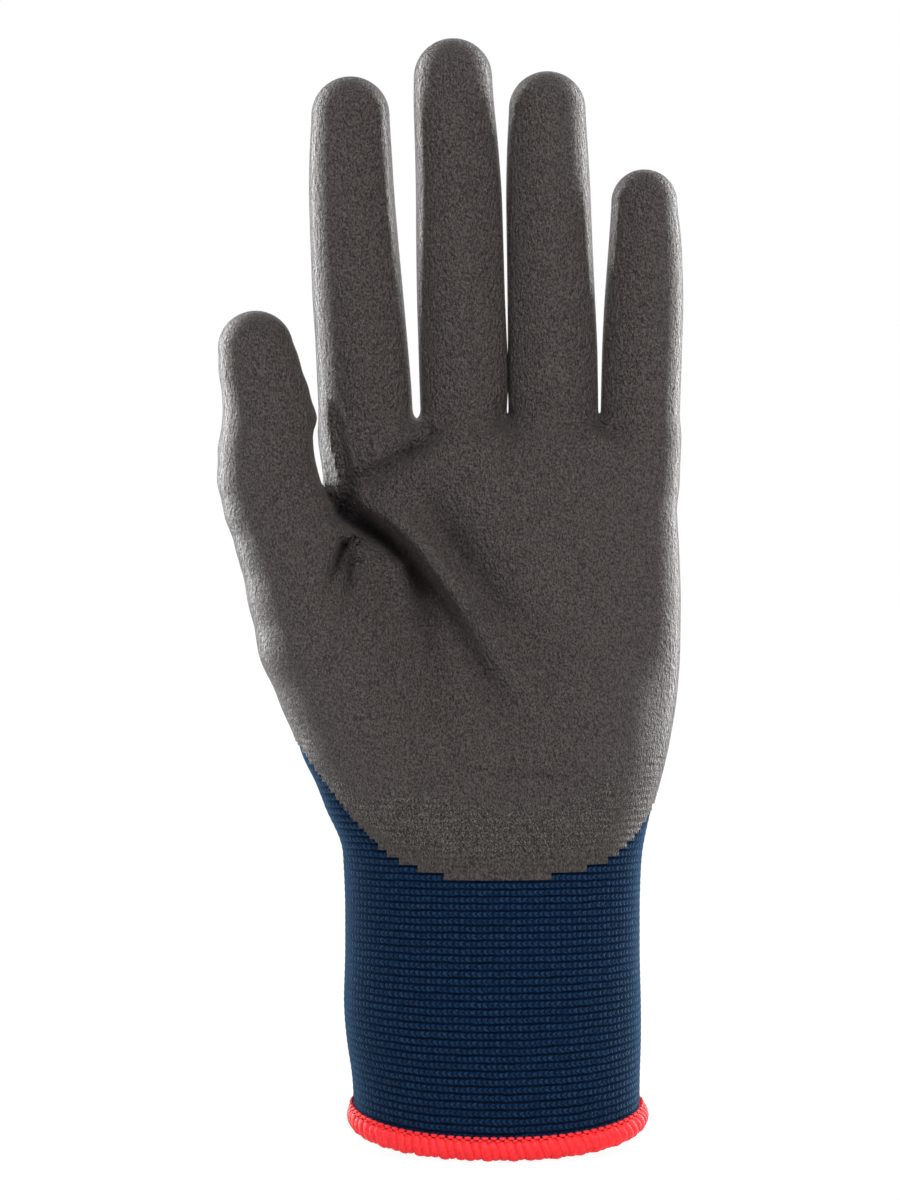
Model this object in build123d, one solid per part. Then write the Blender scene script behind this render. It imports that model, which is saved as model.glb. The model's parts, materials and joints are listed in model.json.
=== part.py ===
from build123d import *
import os
from math import radians, tan

# Cut resistant glove for the left hand: a knitted liner with a dipped palm coating.
# +Z points to the fingertips, the palm faces -Y and the thumb lies towards -X.
# The origin is the centre of the wrist opening, level with the hem's lower edge.

# fabric, film and thread
liner_wall = 1.2
coat_thickness = 0.6
bond_gap = 0.05  # between the liner and what lies on it
thread_diameter = 0.5
elastic_pitch = 3.2

# hem: a thread roll wrapped over the raw edge of the cuff
hem_height = 5.0
hem_under_edge = 1.0  # thread below the raw edge
hem_outside = 1.2
hem_inside = 1.0
hem_rounding = 0.45

# cuff, wrist and palm: one outline from the hem to the finger roots,
# each row is height, thumb edge, little-finger edge, depth
cuff_rows = [
    (0.0, -32.4, 32.6, 46.0),
    (29.0, -34.0, 31.8, 45.5),
    (42.0, -33.6, 31.6, 44.5),
]
wrist_rows = [
    (56.0, -34.0, 32.0, 43.0),
]
palm_rows = [
    (70.0, -36.5, 34.0, 41.0),
    (94.0, -38.0, 38.6, 36.5),
    (120.0, -38.4, 40.0, 31.5),
    (143.0, -38.4, 39.6, 26.0),
    (157.0, -38.0, 39.4, 18.4),
]

# thumb base: a tapered ball-ended form from the palm to the thumb's root
thumb_base_across = -26.0
thumb_base_forward = -5.0
thumb_base_radius = 17.4
thumb_base_clear = 2.6  # from the palm's foot up to the ball

# stalls: root point, length, lean sideways and forward in degrees, the liner's outer radius
# at the root and at the dome, hinge places, and the largest bends in degrees
stalls = {
    "index": dict(
        root=(-29.3, 0.0, 158.0),
        length=75.9,
        lean=(-3.1, 0.0),
        root_radius=9.35,
        dome_radius=7.75,
        root_hinge=9.0,
        proximal_length=21.0,
        tip_length=23.9,
        bends=(70.0, 80.0),
    ),
    "middle": dict(
        root=(-7.1, 0.0, 158.0),
        length=84.3,
        lean=(-2.2, 0.0),
        root_radius=8.85,
        dome_radius=7.95,
        root_hinge=9.0,
        proximal_length=23.0,
        tip_length=27.3,
        bends=(70.0, 80.0),
    ),
    "ring": dict(
        root=(12.6, 0.0, 157.7),
        length=77.3,
        lean=(-1.6, 0.0),
        root_radius=8.75,
        dome_radius=7.65,
        root_hinge=9.0,
        proximal_length=21.5,
        tip_length=24.3,
        bends=(70.0, 80.0),
    ),
    "little": dict(
        root=(31.5, 0.0, 157.0),
        length=56.0,
        lean=(1.4, 0.0),
        root_radius=8.05,
        dome_radius=6.4,
        root_hinge=9.0,
        proximal_length=17.0,
        tip_length=14.0,
        bends=(70.0, 80.0),
    ),
    "thumb": dict(
        root=(-48.4, -9.0, 137.0),
        length=45.7,
        lean=(-7.8, 6.3),
        root_radius=11.1,
        dome_radius=8.7,
        root_hinge=9.5,
        tip_length=19.0,
        bends=(45.0, 60.0),
    ),
}
tip_follow = 0.6  # a fingertip bends by this share of its middle hinge's bend
finger_bend_axis = (1.0, 0.0, 0.0)
thumb_bend_axis = (0.74, 0.62, 0.19)
finger_root_overlap = 14.0  # how far a finger stall's form runs down inside the palm
thumb_root_overlap = 1.0  # and the thumb's, inside the ball at the end of its base
fold_margin = 2.0  # degrees that each side of a fold stands clear at full bend

# coating outline
coat_back = 4.0  # how far the film wraps round behind the middle plane
tip_dip = 14.0  # length of fingertip that is covered all round
coat_edge = [
    (-80.0, 100.0),
    (-44.4, 86.0),
    (-39.0, 78.7),
    (-32.0, 69.3),
    (-25.3, 62.0),
    (-12.7, 57.3),
    (11.0, 56.4),
    (19.0, 57.8),
    (26.0, 60.4),
    (33.1, 67.6),
    (80.0, 90.0),
]

cuff_top = cuff_rows[-1][0]
palm_foot = palm_rows[0][0]
reach = 200.0  # cutting forms reach past every piece


def row_at(rows, height):
    """The outline row at a height, in line between the rows beside it."""
    for low, high in zip(rows, rows[1:]):
        if height <= high[0]:
            break
    share = (height - low[0]) / (high[0] - low[0])
    return tuple(a + share * (b - a) for a, b in zip(low, high))


def section(row, grow):
    """A rounded-end section of the hand, larger by grow all round."""
    height, left, right, depth = row
    outline = SlotOverall(right - left + 2 * grow, depth + 2 * grow)
    return Pos((left + right) / 2, 0, height) * outline


def tube_form(rows, grow):
    return loft([section(row, grow) for row in rows], ruled=True)


def side_form(points):
    """A form with this outline in Y and Z, through everything along X."""
    return extrude(Plane.YZ * Polygon(*points, align=None), reach, both=True)


def layer(low, high):
    """Everything between two heights."""
    return Pos(0, 0, (low + high) / 2) * Box(reach * 2, reach * 2, high - low)


def slope(bend):
    return tan(radians(bend / 2 + fold_margin))


def beyond(hinge, bend):
    """The tip side of a hinge, leaving room for the fold on the palm side."""
    foot = hinge + reach * slope(bend)
    return side_form([(reach, hinge), (0, hinge), (-reach, foot), (-reach, 3 * reach), (reach, 3 * reach)])


def before(hinge, bend):
    """The root side of a hinge, leaving room for the fold on the palm side."""
    foot = hinge - reach * slope(bend)
    return side_form([(reach, hinge), (0, hinge), (-reach, foot), (-reach, -3 * reach), (reach, -3 * reach)])


def fold_wedge(hinge, bend):
    rise = reach * slope(bend)
    return side_form([(0, hinge), (-reach, hinge + rise), (-reach, hinge - rise)])


def stall_axis(stall):
    """The unit direction from a stall's root to its tip."""
    sideways, forward = stall["lean"]
    return Vector(tan(radians(sideways)), -tan(radians(forward)), 1).normalized()


def hinges(stall):
    """Each hinge's distance from the root, with its largest bend, from the root to the tip."""
    first = stall["root_hinge"]
    last = stall["length"] - stall["tip_length"]
    if "proximal_length" not in stall:
        return list(zip((first, last), stall["bends"]))
    bends = stall["bends"] + (stall["bends"][-1] * tip_follow,)
    return list(zip((first, first + stall["proximal_length"], last), bends))


def stall_place(name):
    """The stall's own frame: Z along it, X along its hinges, the palm side towards -Y."""
    stall = stalls[name]
    along = stall_axis(stall)
    across = Vector(*(thumb_bend_axis if name == "thumb" else finger_bend_axis))
    across = across - along * across.dot(along)
    return Location(Plane(origin=stall["root"], x_dir=across, z_dir=along))


def stall_form(name, grow):
    """A tapered tube form with a round tip, in the stall's own frame."""
    stall = stalls[name]
    dome = stall["dome_radius"]
    centre = stall["length"] - dome
    wide = stall["root_radius"] + grow
    tip = dome + grow
    foot = -thumb_root_overlap if name == "thumb" else -finger_root_overlap
    outline = Polyline((0, foot), (wide, foot), (wide, 0), (tip, centre))
    cap = RadiusArc((tip, centre), (0, centre + tip), -tip)
    back = Line((0, centre + tip), (0, foot))
    return revolve(Plane.XZ * make_face(outline + cap + back), Axis.Z)


def thumb_base_form(grow):
    height = palm_foot + thumb_base_clear + thumb_base_radius
    start = Vector(thumb_base_across, thumb_base_forward, height)
    end = Vector(*stalls["thumb"]["root"])
    low = thumb_base_radius + grow
    high = stalls["thumb"]["root_radius"] + grow
    length = (end - start).length
    place = Location(Plane(origin=start, z_dir=end - start))
    taper = place * Cone(low, high, length, align=(Align.CENTER, Align.CENTER, Align.MIN))
    return taper + Pos(start) * Sphere(low) + Pos(end) * Sphere(high)


def hand_form(grow, whole_stalls):
    """Palm, thumb base and stall roots in one form, with the stalls whole or cut at their hinges."""
    rows = palm_rows[:-1] + [(palm_rows[-1][0] + grow,) + palm_rows[-1][1:]]
    form = tube_form(rows, grow)
    for name, stall in stalls.items():
        root = stall_form(name, grow)
        if name == "thumb":
            root = root + stall_place(name).inverse() * thumb_base_form(grow)
        if not whole_stalls:
            root = root & before(*hinges(stall)[0])
        form = form + stall_place(name) * root
    return form


def above_coat_edge():
    points = coat_edge + [(coat_edge[-1][0], 3 * reach), (coat_edge[0][0], 3 * reach)]
    return extrude(Plane.XZ * Polygon(*points, align=None), reach, both=True)


def palm_side():
    return Pos(0, coat_back - reach, 0) * Box(reach * 2, reach * 2, reach * 6)


def coated(outer_film, inner_film):
    """The film between two forms, on the palm side and above its lower edge."""
    return (outer_film - inner_film) & palm_side() & above_coat_edge()


def thread_ring(row, grow):
    """A thread that runs round the cuff at this row, its centre grow outside the liner."""
    path = section(row, grow).wire()
    start = Plane(origin=path @ 0, z_dir=path % 0)
    return sweep(start * Circle(thread_diameter / 2), path=path)


def cuff_liner():
    shell = tube_form(cuff_rows, 0) - tube_form(cuff_rows, -liner_wall)
    return shell & layer(hem_under_edge, cuff_top)


def cuff_elastic_yarn():
    inset = -liner_wall - bond_gap - thread_diameter / 2
    first = hem_height + elastic_pitch
    count = int((cuff_top - first) / elastic_pitch)
    rows = [row_at(cuff_rows, first + elastic_pitch * turn) for turn in range(count)]
    return [thread_ring(row, inset) for row in rows]


def hem_overlock():
    roll = tube_form(cuff_rows, hem_outside) & layer(0, hem_height)
    roll = roll - tube_form(cuff_rows, -liner_wall - hem_inside)
    level_edges = roll.edges().filter_by(Plane.XY)
    roll = fillet(level_edges, hem_rounding)
    slot = tube_form(cuff_rows, bond_gap) - tube_form(cuff_rows, -liner_wall - bond_gap)
    return roll - (slot & layer(hem_under_edge - bond_gap, reach))


def hem_needle_thread():
    height = hem_height + bond_gap + thread_diameter / 2
    standoff = bond_gap + thread_diameter / 2
    return [thread_ring(row_at(cuff_rows, height), grow) for grow in (standoff, -liner_wall - standoff)]


def wrist_knit():
    rows = [cuff_rows[-1]] + wrist_rows + [palm_rows[0]]
    knit = tube_form(rows, 0) - tube_form(rows, -liner_wall)
    film = coated(tube_form(rows, bond_gap + coat_thickness), tube_form(rows, bond_gap))
    return [knit, film]


def hand_liner():
    return hand_form(0, False) - hand_form(-liner_wall, True)


def palm_coating():
    film = coated(hand_form(bond_gap + coat_thickness, False), hand_form(bond_gap, True))
    return film & layer(palm_foot, 3 * reach)


def stall_shells(name):
    """The whole stall's knit tube and the film on it, in the stall's own frame."""
    length = stalls[name]["length"]
    knit = stall_form(name, 0) - stall_form(name, -liner_wall)
    film = stall_form(name, bond_gap + coat_thickness) - stall_form(name, bond_gap)
    bare_back = Pos(0, coat_back + reach, length - tip_dip - reach) * Box(reach * 2, reach * 2, reach * 2)
    return knit, film - bare_back


def stall_pieces(name):
    """Every segment's liner and coating, and the fold at each of its hinges."""
    place = stall_place(name)
    knit, film = stall_shells(name)
    bends = hinges(stalls[name])
    names = ("proximal", "middle", "tip") if len(bends) == 3 else ("proximal", "tip")
    pieces = {}
    for index, segment in enumerate(names):
        region = beyond(*bends[index])
        if index + 1 < len(bends):
            region = region & before(*bends[index + 1])
        wedge = fold_wedge(*bends[index])
        pieces[f"{name}_{segment}_liner"] = place * (knit & region)
        pieces[f"{name}_{segment}_coating"] = place * (film & region)
        pieces[f"{name}_{segment}_fold"] = [place * (knit & wedge), place * (film & wedge)]
    return pieces


def save(name, shapes):
    """Write one sub-part, whose separate solids stay separate."""
    shapes = shapes if isinstance(shapes, list) else [shapes]
    solids = [solid for shape in shapes for solid in shape.solids()]
    export_step(Compound(label=name, children=solids), f"parts/{name}.step")


def main():
    os.makedirs("parts", exist_ok=True)
    save("cuff_liner", cuff_liner())
    save("cuff_elastic_yarn", cuff_elastic_yarn())
    save("hem_overlock", hem_overlock())
    save("hem_needle_thread", hem_needle_thread())
    save("wrist_knit", wrist_knit())
    save("hand_liner", hand_liner())
    save("palm_coating", palm_coating())
    for name in stalls:
        for node, shapes in stall_pieces(name).items():
            save(node, shapes)


main()
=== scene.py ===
import json
import math

import bpy
import numpy as np
from bpy.props import FloatProperty, FloatVectorProperty, IntProperty, PointerProperty
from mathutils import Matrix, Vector


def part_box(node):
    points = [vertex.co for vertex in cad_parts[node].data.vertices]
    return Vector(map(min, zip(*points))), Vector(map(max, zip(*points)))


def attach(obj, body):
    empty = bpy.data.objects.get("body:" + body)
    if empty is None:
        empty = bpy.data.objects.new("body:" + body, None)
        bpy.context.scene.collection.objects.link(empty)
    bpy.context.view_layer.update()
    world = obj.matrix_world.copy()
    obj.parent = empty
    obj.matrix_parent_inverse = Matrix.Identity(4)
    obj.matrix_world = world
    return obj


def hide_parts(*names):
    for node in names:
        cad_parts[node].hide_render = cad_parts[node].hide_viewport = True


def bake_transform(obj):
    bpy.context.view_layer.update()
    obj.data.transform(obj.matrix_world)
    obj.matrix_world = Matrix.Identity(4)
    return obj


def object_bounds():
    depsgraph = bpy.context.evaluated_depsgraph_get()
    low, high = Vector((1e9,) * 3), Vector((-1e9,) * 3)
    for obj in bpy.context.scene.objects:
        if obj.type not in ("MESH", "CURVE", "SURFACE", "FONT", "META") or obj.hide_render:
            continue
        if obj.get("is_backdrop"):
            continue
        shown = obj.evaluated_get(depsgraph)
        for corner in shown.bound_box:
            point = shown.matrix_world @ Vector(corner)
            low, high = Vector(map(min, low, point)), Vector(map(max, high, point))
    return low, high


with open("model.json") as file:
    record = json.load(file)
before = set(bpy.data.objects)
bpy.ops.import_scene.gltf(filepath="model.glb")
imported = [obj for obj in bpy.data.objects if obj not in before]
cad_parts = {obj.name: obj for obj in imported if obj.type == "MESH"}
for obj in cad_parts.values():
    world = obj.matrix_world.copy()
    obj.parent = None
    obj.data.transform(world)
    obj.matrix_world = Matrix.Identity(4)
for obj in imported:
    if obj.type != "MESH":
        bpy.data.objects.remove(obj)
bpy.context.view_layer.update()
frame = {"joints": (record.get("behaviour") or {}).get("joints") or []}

bl_info = {
    "name": "Cut Resistant Glove",
    "version": (1, 0, 0),
    "blender": (4, 5, 0),
    "location": "3D View > Sidebar > Glove",
    "description": "Builds a dipped knit work glove around its CAD frame",
    "category": "Add Mesh",
}

MM = 0.001

# ---------------- sizes of the hand form, in millimetres

# the palm and cuff outline: height, thumb edge, little-finger edge, half depth, centre forward or back
TRUNK_ROWS = (
    (-12, -31.8, 32, 22.4, 0), (4, -31.9, 31.8, 22.3, 0), (12, -32.1, 31.8, 22.4, 0),
    (19, -33.4, 32.1, 22.6, 0), (28, -34.2, 32.1, 22.6, 0), (38, -33.8, 31.8, 22.3, 0),
    (52, -33.8, 31.8, 21.7, 0.1), (62, -34.3, 32.2, 21, 0.2), (72, -35, 34.4, 20.2, 0.2),
    (83, -36, 37.2, 19.2, 0.1), (94, -37, 39.3, 18.2, 0), (104, -37.4, 40.2, 17.3, 0),
    (119, -37.6, 40.4, 15.8, 0), (131, -37.8, 39.9, 14.4, 0), (142, -37, 39.2, 12.8, 0),
    (152, -38, 39.6, 10.8, 0), (160, -38.8, 40.4, 8.8, 0),
)
TRUNK_TOP = 157.2
ROW_SOFTENING = 7.0
# each finger: height, centre across, half width; the last is the centre of its round tip
FINGER_ROWS = {
    "index": ((138, -28, 9.2), (146, -28.4, 9.5), (153, -29.1, 10.2), (160, -29.15, 10), (166, -29.5, 10),
              (174, -30, 9.8), (184, -30.8, 9.7), (198, -31.7, 9.3), (208, -32.3, 9.05), (219, -32.5, 8.6),
              (225.2, -32.5, 8.15)),
    "middle": ((140, -7.5, 8.9), (158, -7.4, 9.1), (166, -7.4, 9.4), (174, -7.6, 9.42), (184, -8, 9.35),
               (198, -8.3, 9.25), (208, -8.45, 9.1), (219, -9, 8.8), (229, -9.7, 8.45), (233.6, -9.8, 8.2)),
    "ring": ((140, 12.6, 9.5), (160, 12.5, 9.55), (174, 12.35, 9.5), (184, 12.05, 9.3), (198, 11.6, 9.05),
             (208, 11.35, 8.95), (219, 11.15, 8.5), (226.5, 11.1, 8)),
    "little": ((140, 31.4, 8.1), (160, 31.8, 8.35), (174, 32.2, 8.45), (184, 32.6, 8.35), (198, 32.9, 7.6),
               (206, 32.6, 6.75)),
}
FINGERS = tuple(FINGER_ROWS)
STALLS = (*FINGERS, "thumb")
FINGER_DEPTH = 0.93  # depth as a share of width
FINGER_FOOT = 144  # below this height a finger's form is round, and sinks into the palm
# the thumb from the heel of the hand to its tip: across, forward or back, height, radius
THUMB_LINE = (
    (-24.4, -5, 79, 15), (-28.2, -6, 89, 15.5), (-32.6, -6.8, 100, 15.4), (-37, -7.5, 110, 15.4),
    (-40.2, -8, 120, 14.3), (-44.1, -8.8, 131, 12.9), (-47.9, -9.4, 139.5, 11.8), (-49.8, -9.9, 145, 11.1),
    (-50.2, -10.5, 150.5, 10.5), (-49.9, -11.1, 156, 9.9), (-50.7, -11.8, 162, 8.95),
    (-52.1, -12.6, 168.5, 8.3), (-52.9, -13.2, 173, 7.8),
)
LITTLE_HEEL = (18.0, -5.0, 91.0, 14.6)  # the pad under the little finger: across, forward or back, height, radius
# how softly the forms run into each other; the thumb's is at the crotch, and then at the ball of the thumb
CROTCH_SOFTNESS = 2.6
FINGER_SOFTNESS = 0.3
HEEL_SOFTNESS = 7.0
TOP_SOFTNESS = 6.0
THUMB_SOFTNESS = (2.2, 6.0)
THUMB_SOFT_HEIGHTS = (112, 134)
KNIT_LEVEL = -0.03
KNIT_WALL = 1.0
KNIT_SINK = 0.5  # how much deeper the knit lies where film covers it
FILM_LEVEL = 0.45
FILM_WALL = 0.38
WALE_WIDTH = 0.9
BASE_GAP = 1.6  # how much slimmer the first form is, so that neighbouring fingers stay apart
ROUGH_MESH = 1.6

# folds of the palm: points of each as across, height, depth, then its width on its lower and upper side
PALM_FOLDS = (
    # the deep fold from the thumb's crotch
    (((-36.8, 139.2, 0), (-35, 138, 4), (-33, 136.6, 6.5), (-29.2, 134, 6.4), (-24.6, 130.9, 5.8),
      (-20.2, 127, 4.2), (-18.2, 122.6, 1.8), (-16.9, 117.8, 0)), 2, 2.8),
    # its soft branch down the ball of the thumb
    (((-25.4, 131, 0), (-22.2, 127.2, 0.9), (-19.4, 122.6, 1.9), (-17.4, 117.8, 3), (-15.9, 113.3, 3.2),
      (-14.7, 108.9, 2.8), (-13.5, 104.4, 2.3), (-12.8, 98, 1.4), (-12.4, 88, 0)), 4.6, 3),
    # its sharp branch across the palm
    (((-20, 126.6, 0), (-18, 124.6, 1.8), (-15.2, 121.4, 3.3), (-10.2, 114.4, 3.4), (-5, 105.6, 3),
      (1.2, 96.5, 2), (5.6, 90, 0)), 3.4, 1.9),
    # the rise beside it
    (((-30, 141, 0), (-22, 135.2, -2), (-15.6, 129.2, -3), (-8.4, 120.4, -3), (-1.4, 110.4, -2.3),
      (4.5, 99.5, 0)), 2.4, 4.4),
    # the soft hollow of the palm
    (((-17.5, 144, 0), (-14.8, 140, 2.6), (-9.4, 131.1, 4), (-3.8, 122.2, 3.8), (2.6, 113.3, 2.8),
      (11, 100, 0)), 4.6, 5.4),
    # the crease from the first two fingers to the thumb
    (((-12, 156.4, 0), (-14.4, 154, 2.4), (-17, 151.8, 3.2), (-20.8, 149.7, 3.2), (-25.4, 146.8, 2.8),
      (-30.2, 144.6, 2.2), (-33.5, 142, 0)), 1.6, 2.2),
    # two short creases under the other fingers
    (((20.2, 157.6, 0), (22.5, 156.2, 1.2), (25.5, 154.9, 1.2), (30.5, 152.6, 0)), 1.2, 1.5),
    (((1.8, 158.6, 2), (2.6, 154.4, 1.4), (3.6, 147, 0)), 1.8, 1.8),
    # between thumb and first finger, and the groove beside it on the finger's root
    (((-40.4, 158, 0), (-40, 154, 1.4), (-39.2, 149.7, 3), (-38, 144.6, 5), (-36.6, 140.8, 5),
      (-34.8, 138, 2)), 1.1, 2.9),
    (((-36.4, 164, 0), (-35.4, 157, 1.2), (-34.4, 151, 2), (-33.4, 145.5, 2.8), (-32.6, 140.5, 3.2),
      (-32, 137, 0)), 1.3, 2),
    # the lip under the deep fold, and the short folds below it
    (((-37.4, 134.2, 0), (-35.2, 133.6, -1.1), (-32.8, 132.9, -1.1), (-30.4, 131.2, 0)), 1.2, 1.1),
    (((-33, 132, 0), (-33.6, 130.4, 3.2), (-34.7, 127.4, 4.8), (-36, 124, 3.2),
      (-37.4, 118.4, 0)), 1, 1.4),
    (((-32, 131.2, 0), (-32, 128.8, 2), (-32.3, 125.4, 4), (-32.8, 121.4, 2.8),
      (-33.8, 114, 0)), 1.2, 1.2),
    # the low crease above the film's end
    (((-8, 80.9, 0), (2, 80.5, 0.6), (9, 80, 0.55), (15, 79.6, 0)), 0.8, 0.6),
)
FOLD_HEIGHTS = (74, 162)
FOLD_FADE = (1, -8)  # forward or back: where a fold starts, and where it has its whole depth
DEEP_FOLD = 2.6  # folds past this depth get a finer mesh

# where the film ends on the palm: across, height
FILM_EDGE = ((-62, 112), (-49, 90.6), (-44, 86.7), (-38.6, 79.2), (-31.6, 70.2), (-25, 63.3),
             (-20.8, 60.6), (-12.4, 58.4), (-11.8, 58), (11.2, 58), (11.8, 58.4), (18.3, 59.2), (25.2, 61.7),
             (29.4, 65), (33.3, 70.2), (37.4, 78.6), (43.5, 92.3))
FILM_BACK = 3.6  # how far back the film reaches along the sides
TIP_DIP = 15.0  # how far down from its tip a stall is dipped all round
TIP_LEAN = (0, -0.25, 1.0)
# where the film turns the thumb's web: height, and across where it follows the thumb and where it no longer does
WEB_EDGE = ((112, -43.5, -36.5), (130, -44.5, -39.5), (139, -46.0, -41.5), (150, -45.0, -41.5),
            (162, -43.0, -40.6), (174, -44.0, -42.0), (184, -46.0, -44.0))
SIDE_BACK = 9  # the steps are cut in front of this

CUFF_START, CUFF_END, SLEEVE_END = 1.0, 24.8, 85.0  # the cuff meets the sleeve below the wrist's bend
STALL_FLOOR = 134  # nothing below this height belongs to a stall
FINGER_CUT, THUMB_CUT = 7.3, 5.4  # how far below its first hinge a stall is divided from the hand

HEM_DROP, HEM_LIFT, HEM_DROP_END = 6.0, 2.0, 50.0
HEM_HEIGHT = 5.0
LOOP_STEPS = 8  # places along the hem for each overlock loop
LOOP_TUBE = 0.25  # tube of the ring that a loop starts from, whose radius is 1
LOOP_REACH, LOOP_RISE, LOOP_WIDTH, LOOP_THREAD = 1.15, 2.0, 1.12, 0.5
CHAIN_OUT, CHAIN_UP, CHAIN_SWING, CHAIN_RADIUS = 1.0, 2.25, 0.3, 0.42
ELASTIC_SPACING, ELASTIC_RADIUS, ELASTIC_COLUMNS = 3.2, 0.32, 120
ELASTIC_COLOUR_DEEP = (0.03, 0.04, 0.06)

# ---------------- sizes of the stage, in metres

CAMERA_AWAY, CAMERA_RISE = 0.85, 1.0  # the rise is in degrees
CAMERA_TARGET = (-0.01044, 0, 0.1178)
VIEW_HEIGHT = 1200 / 4.5 * MM  # what the camera takes in at its target, from top to bottom
SENSOR = 36
# name, place, aim, width and height, power in watts
LAMPS = (
    ("front_lamp", (0.25, -0.95, 0.95), (0, 0, 0.12), (0.45, 0.4), 16.2),
    ("thumb_side_strip", (-0.58, 0.56, 0.18), (-0.02, 0, 0.13), (0.42, 0.9), 13.5),
    ("little_side_strip", (0.56, 0.58, 0.18), (0.01, 0, 0.13), (0.42, 0.9), 12.0),
)


# ---------------- the hand form as a distance, in millimetres

def smoothstep(low, high, value):
    share = np.clip((value - low) / (high - low), 0, 1)
    return share * share * (3 - 2 * share)


def soft_min(a, b, softness):
    share = np.clip(0.5 + 0.5 * (b - a) / softness, 0, 1)
    return b + (a - b) * share - softness * share * (1 - share)


def soft_least(gaps, softness):
    least = gaps[0]
    for gap in gaps[1:]:
        least = soft_min(least, gap, softness)
    return least


def softened(rows):
    """Rows by height as a fine table, with the corners between the rows rounded."""
    rows = np.array(rows, float)
    step = 0.5
    heights = np.arange(rows[0, 0] - 20, rows[-1, 0] + 20, step)
    table = np.array([np.interp(heights, rows[:, 0], column) for column in rows.T[1:]])
    kernel = np.hanning(int(2 * ROW_SOFTENING / step) + 1)
    kernel /= kernel.sum()
    return heights, [np.convolve(np.pad(c, len(kernel) // 2, "edge"), kernel, "valid") for c in table]


TRUNK = softened(TRUNK_ROWS)
FINGER_TABLES = {name: softened(rows) for name, rows in FINGER_ROWS.items()}


def unit(vectors):
    return vectors / np.linalg.norm(vectors, axis=1)[:, None]


def columns_at(table, z):
    heights, columns = table
    return [np.interp(z, heights, c) for c in columns]


def from_segment(p, start, end):
    """How far along a segment the place nearest to each point is, from 0 to 1, and the way from it to the point."""
    a, b = np.array(start, float), np.array(end, float)
    along = np.clip((p - a) @ (b - a) / ((b - a) @ (b - a)), 0, 1)
    return along, p - a - along[..., None] * (b - a)


def trunk_distance(x, y, z):
    left, right, depth, forward = columns_at(TRUNK, z)
    half = (right - left) / 2
    across = np.abs(x - (right + left) / 2) / half + 1e-6
    deep = np.abs(y - forward) / depth + 1e-6
    power = 2.15 + 0.55 * smoothstep(50, 110, z)
    total = across ** power + deep ** power
    size = total ** (1 / power)
    slope = np.hypot(across ** (power - 1) / half, deep ** (power - 1) / depth) * total ** (1 / power - 1)
    side = (size - 1) / np.maximum(slope, 1e-3)
    return -soft_min(-side, TRUNK_TOP - z, TOP_SOFTNESS)


def finger_distance(name, x, y, z):
    held = np.minimum(z, FINGER_ROWS[name][-1][0])
    middle, radius = columns_at(FINGER_TABLES[name], held)
    over = z - held
    under = np.minimum(z - FINGER_FOOT, 0)
    return np.sqrt((x - middle) ** 2 + (y / FINGER_DEPTH) ** 2 + over ** 2 + under ** 2) - radius


def thumb_distance(x, y, z):
    near = (x < 10) & (z < 200) & (z > 40)
    p = np.stack((x, y, z), -1)[near]
    gaps = []
    for start, end in zip(THUMB_LINE, THUMB_LINE[1:]):
        along, off = from_segment(p, start[:3], end[:3])
        gaps.append(np.linalg.norm(off, axis=-1) - start[3] - along * (end[3] - start[3]))
    distance = np.full(x.shape, 50.0)
    distance[near] = soft_least(gaps, 1.0)
    return distance


def fold_depth(x, z):
    """How far the folds push the palm in, at a place of the palm seen from the front."""
    total = np.zeros_like(x)
    everywhere = np.stack((x, z), -1)
    for points, lower, upper in PALM_FOLDS:
        corners = np.array(points)[:, :2]
        edge = 2.6 * max(lower, upper)
        near = ((everywhere > corners.min(0) - edge) & (everywhere < corners.max(0) + edge)).all(-1)
        p = everywhere[near]
        nearest = np.full(len(p), 1e9)
        push = np.zeros(len(p))
        for start, end in zip(points, points[1:]):
            along, off = from_segment(p, start[:2], end[:2])
            gap = np.linalg.norm(off, axis=-1)
            side = (end[0] - start[0]) * off[..., 1] - (end[1] - start[1]) * off[..., 0]
            width = np.where(side > 0, upper, lower)
            here = (start[2] + along * (end[2] - start[2])) * np.exp(-((gap / width) ** 2))
            push = np.where(gap < nearest, here, push)
            nearest = np.minimum(gap, nearest)
        total[near] += push
    return total


def hand_distance(p, floor=-np.inf):
    """How far places are outside the form of the hand and cuff; a floor closes it off below."""
    x, y, z = p[..., 0], p[..., 1], p[..., 2]
    body = trunk_distance(x, y, z)
    heel = np.linalg.norm((p - np.array(LITTLE_HEEL[:3])) * np.array((1, 1, 0.7)), axis=-1) - LITTLE_HEEL[3]
    body = soft_min(body, heel, HEEL_SOFTNESS)
    softness = THUMB_SOFTNESS[1] + (THUMB_SOFTNESS[0] - THUMB_SOFTNESS[1]) * smoothstep(*THUMB_SOFT_HEIGHTS, z)
    body = soft_min(body, thumb_distance(x, y, z), softness)
    fingers = soft_least([finger_distance(name, x, y, z) for name in FINGERS], FINGER_SOFTNESS)
    form = soft_min(body, fingers, CROTCH_SOFTNESS)
    marked = (z > FOLD_HEIGHTS[0]) & (z < FOLD_HEIGHTS[1]) & (y < 4)
    if marked.any():
        push = np.zeros_like(form)
        push[marked] = fold_depth(x[marked], z[marked]) * smoothstep(*FOLD_FADE, y[marked])
        form = form + push
    return np.maximum(form, floor - z)


def settle(p, level, floor, rounds=4):
    """Moves points onto the form's surface, grown by level."""
    reach, longest = 0.02, 2.5
    for _ in range(rounds):
        here = hand_distance(p, floor)
        slope = np.stack([(hand_distance(p + s, floor) - here) / reach for s in np.eye(3) * reach], -1)
        gap = here - level
        step = gap / np.maximum((slope * slope).sum(-1), 0.2)
        p = p - slope * np.clip(step, -longest, longest)[..., None]
    return p


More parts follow.
